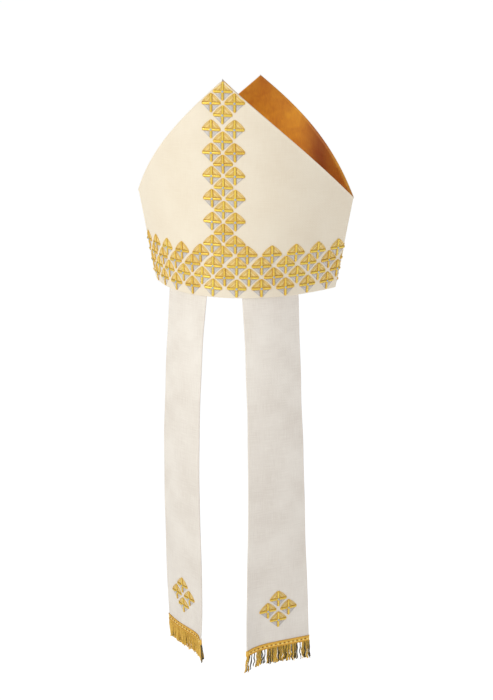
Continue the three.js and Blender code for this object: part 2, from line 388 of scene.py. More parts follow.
def plain_weave(name, light, shade, thread, bump):
    """Plain-woven wool and linen: matt, with an over-and-under grain and a few thicker threads,
    which give the eye a soft dry surface with faint lines along warp and weft."""
    finish, tree, shader = new_finish(
        name, Roughness=0.88, Sheen_Weight=0.12, Sheen_Roughness=0.5, Specular_IOR_Level=0.25)
    flat = add(tree, "ShaderNodeUVMap", uv_map="flat")
    grid = add(tree, "ShaderNodeVectorMath", {0: flat, 1: (math.pi / thread,) * 3},
               operation="MULTIPLY")
    split = add(tree, "ShaderNodeSeparateXYZ", {0: grid})
    warp = add(tree, "ShaderNodeMath", {0: split.outputs[0]}, operation="SINE")
    weft = add(tree, "ShaderNodeMath", {0: split.outputs[1]}, operation="SINE")
    cross = add(tree, "ShaderNodeMath", {0: warp, 1: weft}, operation="MULTIPLY")
    slubs = []
    for stretch in ((1 / SLUB_LENGTH, 1 / thread, 1), (1 / thread, 1 / SLUB_LENGTH, 1)):
        along = add(tree, "ShaderNodeMapping", {"Vector": flat, "Scale": stretch})
        slubs.append(add(tree, "ShaderNodeTexNoise", {"Vector": along, "Scale": 1.0,
                                                      "Detail": 2.0}))
    slub = add(tree, "ShaderNodeMath", {0: slubs[0], 1: slubs[1]}, operation="ADD")
    cloud = add(tree, "ShaderNodeTexNoise", {"Vector": flat, "Scale": 1 / CLOTH_MOTTLE,
                                             "Detail": 3.0})
    mottle = add(tree, "ShaderNodeMath", {0: slub, 1: cloud}, operation="MULTIPLY")
    share = add(tree, "ShaderNodeMapRange", {"Value": mottle, "From Min": 0.25,
                                             "From Max": 0.75})
    colour = add(tree, "ShaderNodeMix", {0: share, 6: linear(light), 7: linear(shade)},
                 data_type="RGBA")
    rough = add(tree, "ShaderNodeMath", {0: slub, 1: 0.6, 2: cross}, operation="MULTIPLY_ADD")
    dress(tree, shader, colour, rough, bump, 0.12 * MM)
    return finish


def satin(name, light, shade, turned):
    """Gold satin: long floating threads lie nearly flat, so it is smooth and glows in broad
    soft highlights. Its crease noise darkens the colour along small creases as painted shade,
    over a random tone, and where the lining is marked, painted shade takes it to the turned
    red-brown."""
    finish, tree, shader = new_finish(
        name, Roughness=0.42, Metallic=0.2, Specular_IOR_Level=0.4, Sheen_Weight=0.1)
    flat = add(tree, "ShaderNodeUVMap", uv_map="flat")
    along = add(tree, "ShaderNodeMapping", {
        "Vector": flat, "Scale": (1 / CREASE_WIDTH, 1 / CREASE_LENGTH, 1)})
    crease = add(tree, "ShaderNodeTexNoise", {"Vector": along, "Scale": 1.0, "Detail": 2.0,
                                              "Distortion": 2.0})
    cloud = add(tree, "ShaderNodeTexNoise", {"Vector": flat, "Scale": 1 / SATIN_MOTTLE,
                                             "Detail": 2.0, "Distortion": 0.8})
    # The cloud gives a random tone; the crease noise adds painted shade along small creases and
    # also raises them in the bump
    uneven = add(tree, "ShaderNodeMath", {0: crease, 1: 0.45, 2: cloud},
                 operation="MULTIPLY_ADD")
    spread = add(tree, "ShaderNodeMapRange", {"Value": uneven, "From Min": 0.5,
                                              "From Max": 1.05})
    colour = add(tree, "ShaderNodeMix", {0: spread, 6: linear(light), 7: linear(shade)},
                 data_type="RGBA")
    # Painted shade: where the lining is marked, its colour goes towards the turned red-brown
    fold = add(tree, "ShaderNodeAttribute", attribute_name="fold")
    with_painted_shade = add(tree, "ShaderNodeMix", {0: fold.outputs["Fac"], 6: colour.outputs[2],
                                         7: linear(turned)}, data_type="RGBA")
    dress(tree, shader, with_painted_shade, crease, 0.2, 0.25 * MM)
    return finish


def thread_finish(name, light, shade, roughness, metallic, fibre, side_shade=0.2):
    """Embroidery or fringe thread of metallised yarn on a silk core: it shines along each
    thread, and no two threads take the light quite alike. fibre is the size of its flecks, and
    the last argument how much painted shade deepens its colour down its sides, towards the cloth."""
    finish, tree, shader = new_finish(
        name, Roughness=roughness, Metallic=metallic, Specular_IOR_Level=0.6)
    place = add(tree, "ShaderNodeTexCoord").outputs["Object"]
    fleck = add(tree, "ShaderNodeTexNoise", {"Vector": place, "Scale": 1 / fibre,
                                             "Detail": 2.0})
    motif = add(tree, "ShaderNodeAttribute", attribute_name="thread_shade")
    stitch = add(tree, "ShaderNodeAttribute", attribute_name="stitch_shade")
    own = add(tree, "ShaderNodeMath", {0: stitch.outputs["Fac"], 1: 0.7, 2: fleck},
              operation="MULTIPLY_ADD")
    mixed = add(tree, "ShaderNodeMath", {0: motif.outputs["Fac"], 1: 0.15, 2: own},
                operation="MULTIPLY_ADD")
    # Painted shade: the colour deepens down each thread's sides, towards the cloth
    sunk = add(tree, "ShaderNodeAttribute", attribute_name="sunk").outputs["Fac"]
    with_side_shade = add(tree, "ShaderNodeMath", {0: sunk, 1: side_shade, 2: mixed},
                 operation="MULTIPLY_ADD")
    share = add(tree, "ShaderNodeMapRange", {"Value": with_side_shade, "From Min": 0.4,
                                             "From Max": 1.2})
    colour = add(tree, "ShaderNodeMix", {0: share, 6: linear(light), 7: linear(shade)},
                 data_type="RGBA")
    dress(tree, shader, colour, fleck, 0.2, 0.1 * MM)
    return finish


CREAM_CLOTH = plain_weave("cream wool cloth, plain woven", "#f2e7d3", "#ecdfc9",
                          WEAVE_PITCH, 0.3)
LAPPET_CLOTH = plain_weave("off-white wool cloth, plain woven", "#f4ede3", "#e6ddd2",
                           WEAVE_PITCH, 0.45)
# The last colour is the red-brown painted shade of the lining's marked bands and tip
GOLD_SATIN = satin("orange-gold satin lining", "#f2aa30", "#cd7620", "#98461c")
GOLD_BAR = thread_finish("bright gold satin stitch", "#ffe862", "#cb8020", 0.3, 0.35,
                         0.9 * MM, 0.6)
GOLD_LAID = thread_finish("pale gold laid thread", "#ffefb2", "#eecb70", 0.6, 0.05,
                          0.8 * MM, 0.1)
GOLD_OUTLINE = thread_finish("gold couching cord", "#ffdc6c", "#e6ae40", 0.4, 0.2, 0.7 * MM)
SILVER_LAID = thread_finish("silver laid thread", "#ece7e2", "#cdc8c4", 0.5, 0.1, 0.8 * MM)
SILVER_KNOT = thread_finish("silver purl knot", "#b9c1d4", "#858ea9", 0.3, 0.3, 0.5 * MM)
BULLION = thread_finish("gold bullion cord", "#ffd656", "#e0a238", 0.42, 0.3, 1.2 * MM)
# Dark cords standing in for the shade between the gold cords: painted shade
BULLION_SHADE = thread_finish("tarnished bullion cord", "#5d5029", "#2b2718", 0.55, 0.3,
                              1.4 * MM)
HEADING_GOLD = thread_finish("woven gold heading", "#f2c04a", "#c0892c", 0.5, 0.3,
                             0.8 * MM)
HEADING_STITCH = thread_finish("brown tie stitch of the heading", "#9c6220", "#6f4214",
                               0.6, 0.1, 0.6 * MM)
BOBBLE_GOLD = thread_finish("pale gold bobbles", "#ffe88c", "#eec353", 0.4, 0.15, 0.6 * MM)
SEWING_THREAD = thread_finish("grey sewing cotton", "#a89c8c", "#7f7466", 0.8, 0.0,
                              0.4 * MM)


# Shaped cloth ------------------------------------------------------------------------------

def seam_turn(height):
    """Angle that a panel has turned by its side seam, at this height."""
    risen = np.clip(height / SIDE_HEIGHT, 0, 1)
    return RIM_TURN + (SIDE_TURN - RIM_TURN) * risen


def panel_turn(arc, height):
    """Angle that a panel has turned, this far along the rim from its middle."""
    share = arc / HALF_PANEL
    return seam_turn(height) * share * (1 + TURN_EASE * (1 - share))


def walk(length, turn_at, steps=48):
    """Where lines get to that set out along x and turn as turn_at says."""
    step = length / steps
    x, y = 0 * step, 0 * step
    for i in range(steps):
        turn = turn_at((i + 0.5) * step)
        x = x + np.cos(turn) * step
        y = y + np.sin(turn) * step
    return x, y


def panel_point(panel, arc, height, inset):
    """Points on a panel. arc is along the rim from its middle, to the right as it is looked
    at from outside, and inset is the depth under its face."""
    flare = 1 + height / FLARE_DEPTH
    way = np.abs(arc)
    turn = panel_turn(way, height)
    across, inward = walk(way, lambda part: panel_turn(part, height))
    levels = np.linspace(np.min(height), np.max(height) + MM, 120)
    ends = walk(HALF_PANEL + 0 * levels, lambda part: panel_turn(part, levels))[1]
    x = across * flare - inset * np.sin(turn)
    depth = (np.interp(height, levels, ends) - inward) * flare - inset * np.cos(turn)
    risen = np.maximum(height - BOW_HEIGHT, 0) / (panel.tip - BOW_HEIGHT)
    bow = panel.bow * risen ** 2 * np.cos(np.minimum(way / HALF_PANEL, 1) * math.pi / 2)
    right = -panel.side * np.sign(arc)
    return np.stack([right * x, panel.side * (depth - bow), height + 0 * x], -1)


def seam_arc(across, height, inset):
    """Arc of a share of the half panel, where every layer stops at the seam's plane."""
    flare = 1 + height / FLARE_DEPTH
    return across * (HALF_PANEL - inset / np.tan(seam_turn(height)) / flare)


def edge_height(panel, across):
    """Height of the upper edge, which is cut straight from the side point to the tip."""
    share = np.abs(across)
    side_flare = 1 + SIDE_HEIGHT / FLARE_DEPTH
    horn = panel.tip - SIDE_HEIGHT
    risen = side_flare * (1 - share) / (side_flare + share * horn / FLARE_DEPTH)
    return SIDE_HEIGHT + risen * horn


def ripples(x, y, size, seed):
    """Gentle unevenness of hand-made cloth, from -1 to 1: a few crossing waves."""
    draw = np.random.default_rng(seed)
    total = 0 * x
    for _ in range(RIPPLES):
        angle, phase = draw.uniform(0, 2 * math.pi, 2)
        length = size * draw.uniform(0.6, 1.7)
        way = (x * math.cos(angle) + y * math.sin(angle)) / length
        total = total + np.sin(2 * math.pi * way + phase)
    return total / RIPPLES


def rounded(distance, radius):
    """Share of its full thickness that a wall has this far in from its rounded edge."""
    return np.sqrt(1 - np.clip(1 - distance / radius, 0, 1) ** 2)


def fine_ends(count, fine):
    """Shares from 0 to 1, evenly spaced but closer by steps near both ends."""
    near = np.array([0, 0.05, 0.15, 0.3, 0.5, 0.75, 1.05, 1.5, 2.1, 3.0]) * fine
    return np.concatenate([near, np.linspace(near[-1], 1 - near[-1], count)[1:-1],
                           1 - near[::-1]])


def both_ways(count, fine):
    """Shares from -1 to 1, alike each way, closer by steps near the middle and both ends."""
    half = fine_ends(count, fine)
    return np.concatenate([-half[:0:-1], half])


def closed_sheet(name, across, down, at, finish):
    """A closed mesh between two layers. at(across, down, layer) gives its points and the
    places on the flat cloth that they were cut at."""
    grid = np.meshgrid(across, down)
    layers = [at(*grid, layer) for layer in (0, 1)]
    points = np.concatenate([layer[0].reshape(-1, 3) for layer in layers])
    flat = np.concatenate([layer[1].reshape(-1, 2) for layer in layers])
    index = np.arange(len(points)).reshape(2, len(down), len(across))
    face, back = index
    rims = [(face[0], back[0]), (back[-1], face[-1]), (back[:, 0], face[:, 0]),
            (face[:, -1], back[:, -1])]
    quads = [(face[:-1, :-1], face[1:, :-1], face[1:, 1:], face[:-1, 1:]),
             (back[:-1, :-1], back[:-1, 1:], back[1:, 1:], back[1:, :-1])]
    quads += [(a[:-1], a[1:], b[1:], b[:-1]) for a, b in rims]
    faces = np.concatenate([np.stack(q, -1).reshape(-1, 4) for q in quads])
    mesh = bpy.data.meshes.new(name)
    mesh.from_pydata(points.tolist(), [], faces.tolist())
    layer = mesh.uv_layers.new(name="flat")
    corners = np.zeros(len(mesh.loops), np.int32)
    mesh.loops.foreach_get("vertex_index", corners)
    layer.data.foreach_set("uv", flat[corners].astype(np.float32).ravel())
    body = bmesh.new()
    body.from_mesh(mesh)
    bmesh.ops.remove_doubles(body, verts=body.verts, dist=1e-6)
    bmesh.ops.dissolve_degenerate(body, edges=body.edges, dist=1e-7)
    bmesh.ops.recalc_face_normals(body, faces=body.faces)
    body.to_mesh(mesh)
    body.free()
    mesh.polygons.foreach_set("use_smooth", [True] * len(mesh.polygons))
    mesh.materials.append(finish)
    return shown(name, mesh)


def shown(name, mesh):
    piece = bpy.data.objects.new(name, mesh)
    bpy.context.scene.collection.objects.link(piece)
    return piece


def edge_distances(panel, across, height):
    """Distance from a panel's upper edge, and from the nearest of all its edges."""
    from_top = (edge_height(panel, across) - height) * math.cos(EDGE_SLOPE)
    from_seam = (1 - np.abs(across)) * HALF_PANEL
    return from_top, np.minimum(np.minimum(from_top, from_seam), height)


def panel_unevenness(panel, across, height):
    """How far a panel's face stands off true, in little waves that die out at its edges."""
    loose = np.clip(edge_distances(panel, across, height)[1] / PANEL_FLAT_EDGE, 0, 1)
    flat_x = across * HALF_PANEL * (1 + height / FLARE_DEPTH)
    return PANEL_WAVES * ripples(flat_x, height, PANEL_WAVE_LENGTH, 11) * loose


def panel_piece(panel):
    """Cloth over stiffening, with a turned and rounded edge all round."""
    across = both_ways(56, 0.006)
    down = fine_ends(80, 0.0045)

    def at(u, v, layer):
        height = edge_height(panel, u) * (1 - v)
        from_top, from_edge = edge_distances(panel, u, height)
        half = PANEL_WALL / 2 * rounded(from_edge, PANEL_WALL / 2)
        flat_x = u * HALF_PANEL * (1 + height / FLARE_DEPTH)
        inset = PANEL_WALL / 2 + (2 * layer - 1) * half
        if layer == 0:
            swell = np.exp(-((from_top - EDGE_WELT_IN) / EDGE_WELT_WIDE) ** 2)
            inset = inset - EDGE_WELT * swell * rounded(from_top, EDGE_WELT_IN)
            inset = inset - panel_unevenness(panel, u, height)
        arc = seam_arc(u, height, inset)
        return panel_point(panel, arc, height, inset), np.stack([flat_x, height], -1)

    return closed_sheet(panel.name + "_panel_cloth", across, down, at, CREAM_CLOTH)


def trough_shoulder(across):
    return TROUGH_SHOULDER + TROUGH_RISE * (1 - across ** 2)


def lining_piece():
    """Satin down the inside of one horn, across the soft trough and up the other."""
    across = both_ways(50, 0.006)
    horn = fine_ends(40, 0.006) * LINING_HORN_SHARE
    down = np.concatenate([horn, np.linspace(horn[-1], 1 - horn[-1], 62)[1:-1],
                           1 - horn[::-1]])

    def horn_at(panel, u, share, inset):
        shoulder = trough_shoulder(u)
        edge = edge_height(panel, u)
        height = shoulder + (edge + panel.proud - shoulder) * (1 - share)
        inset = inset - panel.cover * np.clip((height - edge) / panel.proud, 0, 1)
        right = -panel.side * u
        return panel_point(panel, seam_arc(right, height, inset), height, inset)

    def trough_at(u, along, layer, inset):
        ends = [horn_at(panel, u, 1.0, inset) for panel in (BACK, FRONT)]
        power = 2 / TROUGH_SQUARENESS
        cosine = np.cos(along * math.pi)
        level = np.sign(cosine) * np.abs(cosine) ** power
        middle = 1 - u ** 2
        drop = TROUGH_END_DROP + TROUGH_DROP * middle + (1 - layer) * LINING_WALL
        share = ((1 - level) / 2)[..., None]
        point = ends[0] * (1 - share) + ends[1] * share
        sine = np.clip(np.sin(along * math.pi), 0, 1)
        point[..., 2] -= drop * sine ** power
        point[..., 2] -= VALLEY_DROP * middle * (1 - np.abs(level)) ** 2
        folds = ripples(u * HALF_PANEL, along * TROUGH_ACROSS, LINING_CREASE_LENGTH, 5)
        point[..., 2] += LINING_CREASES * folds * middle * sine ** 2
        return point

    def at(u, v, layer):
        share = np.clip(np.minimum(v, 1 - v) / LINING_HORN_SHARE, 0, 1)
        along = np.clip((v - LINING_HORN_SHARE) / (1 - 2 * LINING_HORN_SHARE), 0, 1)
        side = np.where(v < 0.5, 1.0, -1.0)
        rise = edge_height(BACK, u) - trough_shoulder(u)
        from_top = share * rise * math.cos(EDGE_SLOPE)
        half = LINING_WALL / 2 * rounded(from_top, LINING_WALL / 2)
        inset = LINING_INSET + LINING_WALL / 2 + (2 * layer - 1) * half
        eased = np.clip(from_top / LINING_HELD_EDGE, 0, 1) * (1 - u ** 6)
        puff = ripples(u * HALF_PANEL, share * HORN_DEPTH, LINING_PUFF_LENGTH, 3)
        puff = (puff + LINING_FULLNESS) * eased
        inset = inset + LINING_PUFF * np.maximum(puff, 0)
        back = horn_at(BACK, u, share, inset)
        front = horn_at(FRONT, u, share, inset)
        trough = trough_at(u, along, layer, inset)
        on_horn = (share < 1)[..., None]
        points = np.where(on_horn, np.where((side > 0)[..., None], back, front), trough)
        flat_y = side * (share * rise - rise - HALF_TROUGH) * (1 - along * (side > 0))
        return points, np.stack([u * HALF_PANEL, flat_y], -1)

    lining = closed_sheet("crown_lining_satin", across, down, at, GOLD_SATIN)
    paint_shade_bands(lining.data)
    return lining


def paint_shade_bands(mesh):
    """Write on the lining how much painted shade it gets, from 0 to 1: dark bands standing in
    for folds turned from the light, and a darker tip.
    """
    x, y, z = read_points(mesh).T
    along = np.interp(np.abs(x), [0, BACK_HALF_WIDTH], [0, HALF_PANEL]) * np.sign(x)
    shade = 0 * x
    for fold in PAINTED_SHADE_BANDS:
        near = np.exp(-((along - fold.along) / fold.spread) ** 2)
        shade = np.maximum(shade, fold.strength * near * (y * fold.side > 0))
    high = np.clip((z - TIP_SHADE_FROM) / (BACK.tip - TIP_SHADE_FROM), 0, 1)
    shade = np.maximum(shade, TIP_SHADE * high)
    # This attribute holds painted shade: dark bands for folds turned from the light, and the tip
    mesh.attributes.new("fold", "FLOAT", "POINT").data.foreach_set("value", shade)


def lappet_width(fallen):
    taper = LAPPET_TOP + (LAPPET_BOTTOM - LAPPET_TOP) * fallen
    return taper - 4 * LAPPET_WAIST * fallen * (1 - fallen)


def hanging_point(lappet, fallen, aside, inset):
    """Points of a lappet. fallen is 0 at the rim and 1 at the lower edge, aside the distance
    outwards from its centre line, and inset the depth under its face."""
    tucked = panel_point(BACK, LAPPET_ARC + aside, -fallen * LAPPET_DROP,
                         LAPPET_INSET + inset)
    loose = LAPPET_WAVES * np.clip(fallen * 3, 0, 1)
    inset = inset - loose * ripples(aside, fallen * LAPPET_DROP, LAPPET_WAVE_LENGTH, 21)
    start = panel_point(BACK, np.array(LAPPET_ARC), np.array(0.0), LAPPET_INSET)
    hung = np.maximum(fallen, 0)
    corner = (2 * aside / LAPPET_BOTTOM) ** 2 * np.minimum(hung, 1) ** CURL_POWER
    belly = 4 * hung * (1 - hung)
    settled = 1 - np.maximum(1 - hung, 0) ** 2
    curled = lappet.curl * np.minimum(hung, 1) ** CURL_POWER
    x = start[0] + lappet.out * hung + lappet.belly_out * belly
    y = start[1] + lappet.inward * hung + lappet.belly_in * belly
    steps = 24
    for i in range(steps):
        way = aside * (i + 0.5) / steps
        free = lappet.end_angle + lappet.end_turn * way / LAPPET_BOTTOM
        turn = panel_turn(LAPPET_ARC + way, 0) * (1 - settled) + free * settled
        turn = turn + curled * np.maximum(-2 * way / LAPPET_BOTTOM, 0) ** 2
        x = x + np.cos(turn) * aside / steps
        y = y + np.sin(turn) * aside / steps
    points = np.stack([x - inset * np.sin(turn), y + inset * np.cos(turn),
                       -fallen * LAPPET_DROP - lappet.dip * corner + 0 * x], -1)
    points = np.where((fallen < 0)[..., None], tucked, points)
    points[..., 0] *= lappet.side
    return points


def lappet_piece(lappet):
    """Doubled cloth with turned edges, and a hem line pressed in beside them."""
    across = 2 * fine_ends(34, 0.01) - 1
    down = fine_ends(150, 0.002)
    length = LAPPET_DROP + LAPPET_TUCK

    def at(u, v, layer):
        fallen = (v * length - LAPPET_TUCK) / LAPPET_DROP
        width = lappet_width(np.maximum(fallen, 0))
        from_side = (1 - np.abs(u)) * width / 2
        from_edge = np.minimum(from_side, np.minimum(v, 1 - v) * length)
        half = LAPPET_WALL / 2 * rounded(from_edge, LAPPET_WALL / 2)
        hem = np.exp(-((from_side - HEM_IN) / HEM_WIDE) ** 2)
        half = half - HEM_GROOVE * hem
        inset = LAPPET_WALL / 2 + (2 * layer - 1) * half
        waver = ripples(np.sign(u) * LAPPET_DROP, v * length, LAPPET_WAVER_LENGTH, 41)
        aside = u * (width / 2 + LAPPET_WAVER * waver)
        points = hanging_point(lappet, fallen, aside, inset)
        return points, np.stack([aside, -v * length], -1)

    return closed_sheet(f"lappet_{lappet.name}_cloth", across, down, at, LAPPET_CLOTH)


# Trees -------------------------------------------------------------------------------------

def satin_bar_tree():
    """A padded bar worked over in satin stitch: a ridge for each thread, with round ends."""
    tree, given = new_tree("satin stitched bar", {
        "Length": "Float", "Width": "Float", "Height": "Float", "Stitch": "Float",
        "Material": "Material"})
    half = add(tree, "ShaderNodeMath", {0: given["Length"], 1: 0.5}, operation="MULTIPLY")
    start = add(tree, "ShaderNodeMath", {0: half, 1: -1.0}, operation="MULTIPLY")
    line = add(tree, "GeometryNodeCurvePrimitiveLine", {
        "Start": add(tree, "ShaderNodeCombineXYZ", {0: start}),
        "End": add(tree, "ShaderNodeCombineXYZ", {0: half})})
    stitches = add(tree, "ShaderNodeMath", {0: given["Length"], 1: given["Stitch"]},
                   operation="DIVIDE")
    count = add(tree, "ShaderNodeMath", {0: stitches, 1: 2.0, 2: 1.0},
                operation="MULTIPLY_ADD")
    rings = add(tree, "GeometryNodeResampleCurve", {"Curve": line, "Count": count})
    place = add(tree, "GeometryNodeSplineParameter")
    turned = add(tree, "ShaderNodeMath", {0: 1.0, 1: place}, operation="SUBTRACT")
    nearer = add(tree, "ShaderNodeMath", {0: place, 1: turned}, operation="MINIMUM")
    from_end = add(tree, "ShaderNodeMath", {0: nearer, 1: given["Length"]},
                   operation="MULTIPLY")
    radius = add(tree, "ShaderNodeMath", {0: given["Width"], 1: 0.5}, operation="MULTIPLY")
    reach = add(tree, "ShaderNodeMath", {0: from_end, 1: radius}, operation="DIVIDE",
                use_clamp=True)
    short = add(tree, "ShaderNodeMath", {0: 1.0, 1: reach}, operation="SUBTRACT")
    square = add(tree, "ShaderNodeMath", {0: short, 1: short}, operation="MULTIPLY")
    rest = add(tree, "ShaderNodeMath", {0: 1 + BAR_BLUNTNESS, 1: square},
               operation="SUBTRACT")
    taper = add(tree, "ShaderNodeMath", {0: rest}, operation="SQRT")
    odd = add(tree, "ShaderNodeMath", {0: place.outputs["Index"], 1: 2.0},
              operation="MODULO")
    ridge = add(tree, "ShaderNodeMath", {0: odd, 1: BAR_RIDGE, 2: 1 - BAR_RIDGE},
                operation="MULTIPLY_ADD")
    girth = add(tree, "ShaderNodeMath", {0: taper, 1: ridge}, operation="MULTIPLY")
    thick = add(tree, "ShaderNodeMath", {0: girth, 1: radius}, operation="MULTIPLY")
    ring = add(tree, "GeometryNodeCurvePrimitiveCircle", {"Resolution": 8, "Radius": 1.0})
    tube = add(tree, "GeometryNodeCurveToMesh", {"Curve": rings, "Profile Curve": ring,
                                                 "Scale": thick, "Fill Caps": True})
    squash = add(tree, "ShaderNodeMath", {0: given["Height"], 1: radius},
                 operation="DIVIDE")
    scale = add(tree, "ShaderNodeCombineXYZ", {0: 1.0, 1: 1.0, 2: squash})
    bar = add(tree, "GeometryNodeTransform", {"Geometry": tube, "Scale": scale})
    return close_tree(tree, bar, given["Material"])


def laid_pair_tree():
    """Two quarters of a diamond filled with laid threads, each parallel to the outer edge and
    longer than the one inside it, until the corners cut them short."""
    tree, given = new_tree("laid thread quarters", {
        "Thread": "Object", "Margin": "Float", "Depth": "Float", "Reach": "Float",
        "Stitch": "Float", "Height": "Float", "Turn": "Float", "Stretch": "Float",
        "Seed": "Int", "Material": "Material"})
    apex = add(tree, "ShaderNodeMath", {0: given["Margin"], 1: math.sqrt(2)},
               operation="MULTIPLY")
    span = add(tree, "ShaderNodeMath", {0: given["Depth"], 1: apex}, operation="SUBTRACT")
    count = add(tree, "ShaderNodeMath", {0: span, 1: given["Stitch"]}, operation="DIVIDE")
    first = add(tree, "ShaderNodeMath", {0: given["Stitch"], 1: 0.5, 2: apex},
                operation="MULTIPLY_ADD")
    rows = add(tree, "GeometryNodeMeshLine", {
        "Count": count, "Start Location": add(tree, "ShaderNodeCombineXYZ", {1: first}),
        "Offset": add(tree, "ShaderNodeCombineXYZ", {1: given["Stitch"]})})
    place = add(tree, "ShaderNodeSeparateXYZ", {0: add(tree, "GeometryNodeInputPosition")})
    past = add(tree, "ShaderNodeMath", {0: place.outputs[1], 1: apex},
               operation="SUBTRACT")
    left = add(tree, "ShaderNodeMath", {0: given["Reach"], 1: place.outputs[1]},
               operation="SUBTRACT")
    half = add(tree, "ShaderNodeMath", {0: past, 1: left}, operation="MINIMUM")
    length = add(tree, "ShaderNodeMath", {0: half, 1: 2.0}, operation="MULTIPLY")
    uneven = add(tree, "FunctionNodeRandomValue", {
        "Min": LAID_LOWEST, "Max": LAID_HIGHEST, "Seed": given["Seed"]})
    wide = add(tree, "ShaderNodeMath", {0: given["Stitch"], 1: LAID_OVERLAP},
               operation="MULTIPLY")
    high = add(tree, "ShaderNodeMath", {0: given["Height"], 1: uneven.outputs[1]},
               operation="MULTIPLY")
    size = add(tree, "ShaderNodeCombineXYZ", {0: length, 1: wide, 2: high})
    thread = add(tree, "GeometryNodeObjectInfo", {"Object": given["Thread"]})
    laid = add(tree, "GeometryNodeInstanceOnPoints", {
        "Points": rows, "Instance": thread.outputs["Geometry"], "Scale": size})
    marked = shaded(tree, laid, "stitch_shade", given["Seed"])
    pair = add(tree, "GeometryNodeJoinGeometry")
    for quarter in (-math.pi / 4, math.pi / 4):
        angle = add(tree, "ShaderNodeMath", {0: given["Turn"], 1: quarter},
                    operation="ADD")
        spin = add(tree, "ShaderNodeCombineXYZ", {2: angle})
        turned = add(tree, "GeometryNodeTransform", {"Geometry": marked, "Rotation": spin})
        tree.links.new(turned.outputs[0], pair.inputs[0])
    stretch = add(tree, "ShaderNodeCombineXYZ", {0: given["Stretch"], 1: 1.0, 2: 1.0})
    both = add(tree, "GeometryNodeTransform", {"Geometry": pair, "Scale": stretch})
    return close_tree(tree, both, given["Material"])


def cord_tree():
    """A cord of two plies twisted together, laid along a line."""
    tree, given = new_tree("twisted cord", {
        "Radius": "Float", "Twist": "Float", "Step": "Float", "Material": "Material"})
    line = add(tree, "GeometryNodeMeshToCurve", {"Mesh": given["Geometry"]})
    rings = add(tree, "GeometryNodeResampleCurve", {"Curve": line, "Length": given["Step"]},
                mode="LENGTH")
    along = add(tree, "GeometryNodeSplineParameter").outputs["Length"]
    turns = add(tree, "ShaderNodeMath", {0: along, 1: given["Twist"]}, operation="DIVIDE")
    tilt = add(tree, "ShaderNodeMath", {0: turns, 1: 2 * math.pi}, operation="MULTIPLY")
    spun = add(tree, "GeometryNodeSetCurveTilt", {"Curve": rings, "Tilt": tilt})
    ring = add(tree, "GeometryNodeCurvePrimitiveCircle", {"Resolution": 8, "Radius": 1.0})
    plies = add(tree, "GeometryNodeTransform", {"Geometry": ring,
                                                "Scale": (1, PLY_FLATNESS, 1)})
    tube = add(tree, "GeometryNodeCurveToMesh", {"Curve": spun, "Profile Curve": plies,
                                                 "Scale": given["Radius"],
                                                 "Fill Caps": True})
    return close_tree(tree, tube, given["Material"])


def set_out_tree():
    """Copies of a worked part at each point, each a little turned and sized by hand."""
    tree, given = new_tree("set out by hand", {
        "Part": "Object", "Unevenness": "Float", "Seed": "Int", "Material": "Material"})
    turn = add(tree, "ShaderNodeCombineXYZ", {
        2: stray(tree, given["Unevenness"], given["Seed"])})
    small = add(tree, "ShaderNodeMath", {0: 1.0, 1: given["Unevenness"]},
                operation="SUBTRACT")
    size = add(tree, "FunctionNodeRandomValue", {"Min": small.outputs[0], "Max": 1.0,
                                                 "Seed": given["Seed"]})
    part = add(tree, "GeometryNodeObjectInfo", {"Object": given["Part"]})
    copies = add(tree, "GeometryNodeInstanceOnPoints", {
        "Points": given["Geometry"], "Instance": part.outputs["Geometry"],
        "Rotation": turn, "Scale": size.outputs[1]})
    return close_tree(tree, shaded(tree, copies, "thread_shade", given["Seed"]),
                      given["Material"])


def hanging_cords_tree():
    """Cords that hang from each point, swung a little apart and swayed together in locks."""
    tree, given = new_tree("hanging cords", {
        "Cord": "Object", "Swing": "Float", "Sway": "Float", "Lock": "Float",
        "Length": "Float", "Seed": "Int", "Material": "Material"})
    seeds = [add(tree, "ShaderNodeMath", {0: given["Seed"], 1: float(i)}, operation="ADD")
             for i in range(3)]
    turn = add(tree, "ShaderNodeCombineXYZ", {0: stray(tree, given["Swing"], seeds[0]),
                                              2: stray(tree, given["Swing"], seeds[1])})
    drop = add(tree, "FunctionNodeRandomValue", {"Min": SHORTEST_CORD, "Max": 1.0,
                                                 "Seed": seeds[2]})
    size = add(tree, "ShaderNodeCombineXYZ", {0: 1.0, 1: drop.outputs[1], 2: 1.0})
    cord = add(tree, "GeometryNodeObjectInfo", {"Object": given["Cord"]})
    hung = add(tree, "GeometryNodeInstanceOnPoints", {
        "Points": given["Geometry"], "Instance": cord.outputs["Geometry"],
        "Rotation": turn, "Scale": size})
    real = add(tree, "GeometryNodeRealizeInstances", {
        "Geometry": shaded(tree, hung, "thread_shade", given["Seed"])})
    place = add(tree, "GeometryNodeInputPosition")
    split = add(tree, "ShaderNodeSeparateXYZ", {0: place})
    fallen = add(tree, "ShaderNodeMath", {0: split.outputs[1], 1: given["Length"]},
                 operation="DIVIDE")
    lock = add(tree, "ShaderNodeVectorMath", {0: place, "Scale": given["Lock"]},
               operation="SCALE")
    drift = add(tree, "ShaderNodeTexNoise", {"Vector": lock, "Scale": 1.0, "Detail": 1.0})
    centred = add(tree, "ShaderNodeVectorMath", {0: drift.outputs["Color"],
                                                 1: (0.5, 0.5, 0.5)}, operation="SUBTRACT")
    power = add(tree, "ShaderNodeMath", {0: fallen, 1: given["Sway"]},
                operation="MULTIPLY")
    shift = add(tree, "ShaderNodeVectorMath", {0: centred, "Scale": power},
                operation="SCALE")
    spread = add(tree, "ShaderNodeVectorMath", {0: shift, 1: SWAY_SHARES},
                 operation="MULTIPLY")
    moved = add(tree, "GeometryNodeSetPosition", {"Geometry": real, "Offset": spread})
    return close_tree(tree, moved, given["Material"])


SATIN_BAR = satin_bar_tree()
LAID_PAIR = laid_pair_tree()
CORD = cord_tree()
SET_OUT = set_out_tree()
HANGING_CORDS = hanging_cords_tree()


# Small parts -------------------------------------------------------------------------------

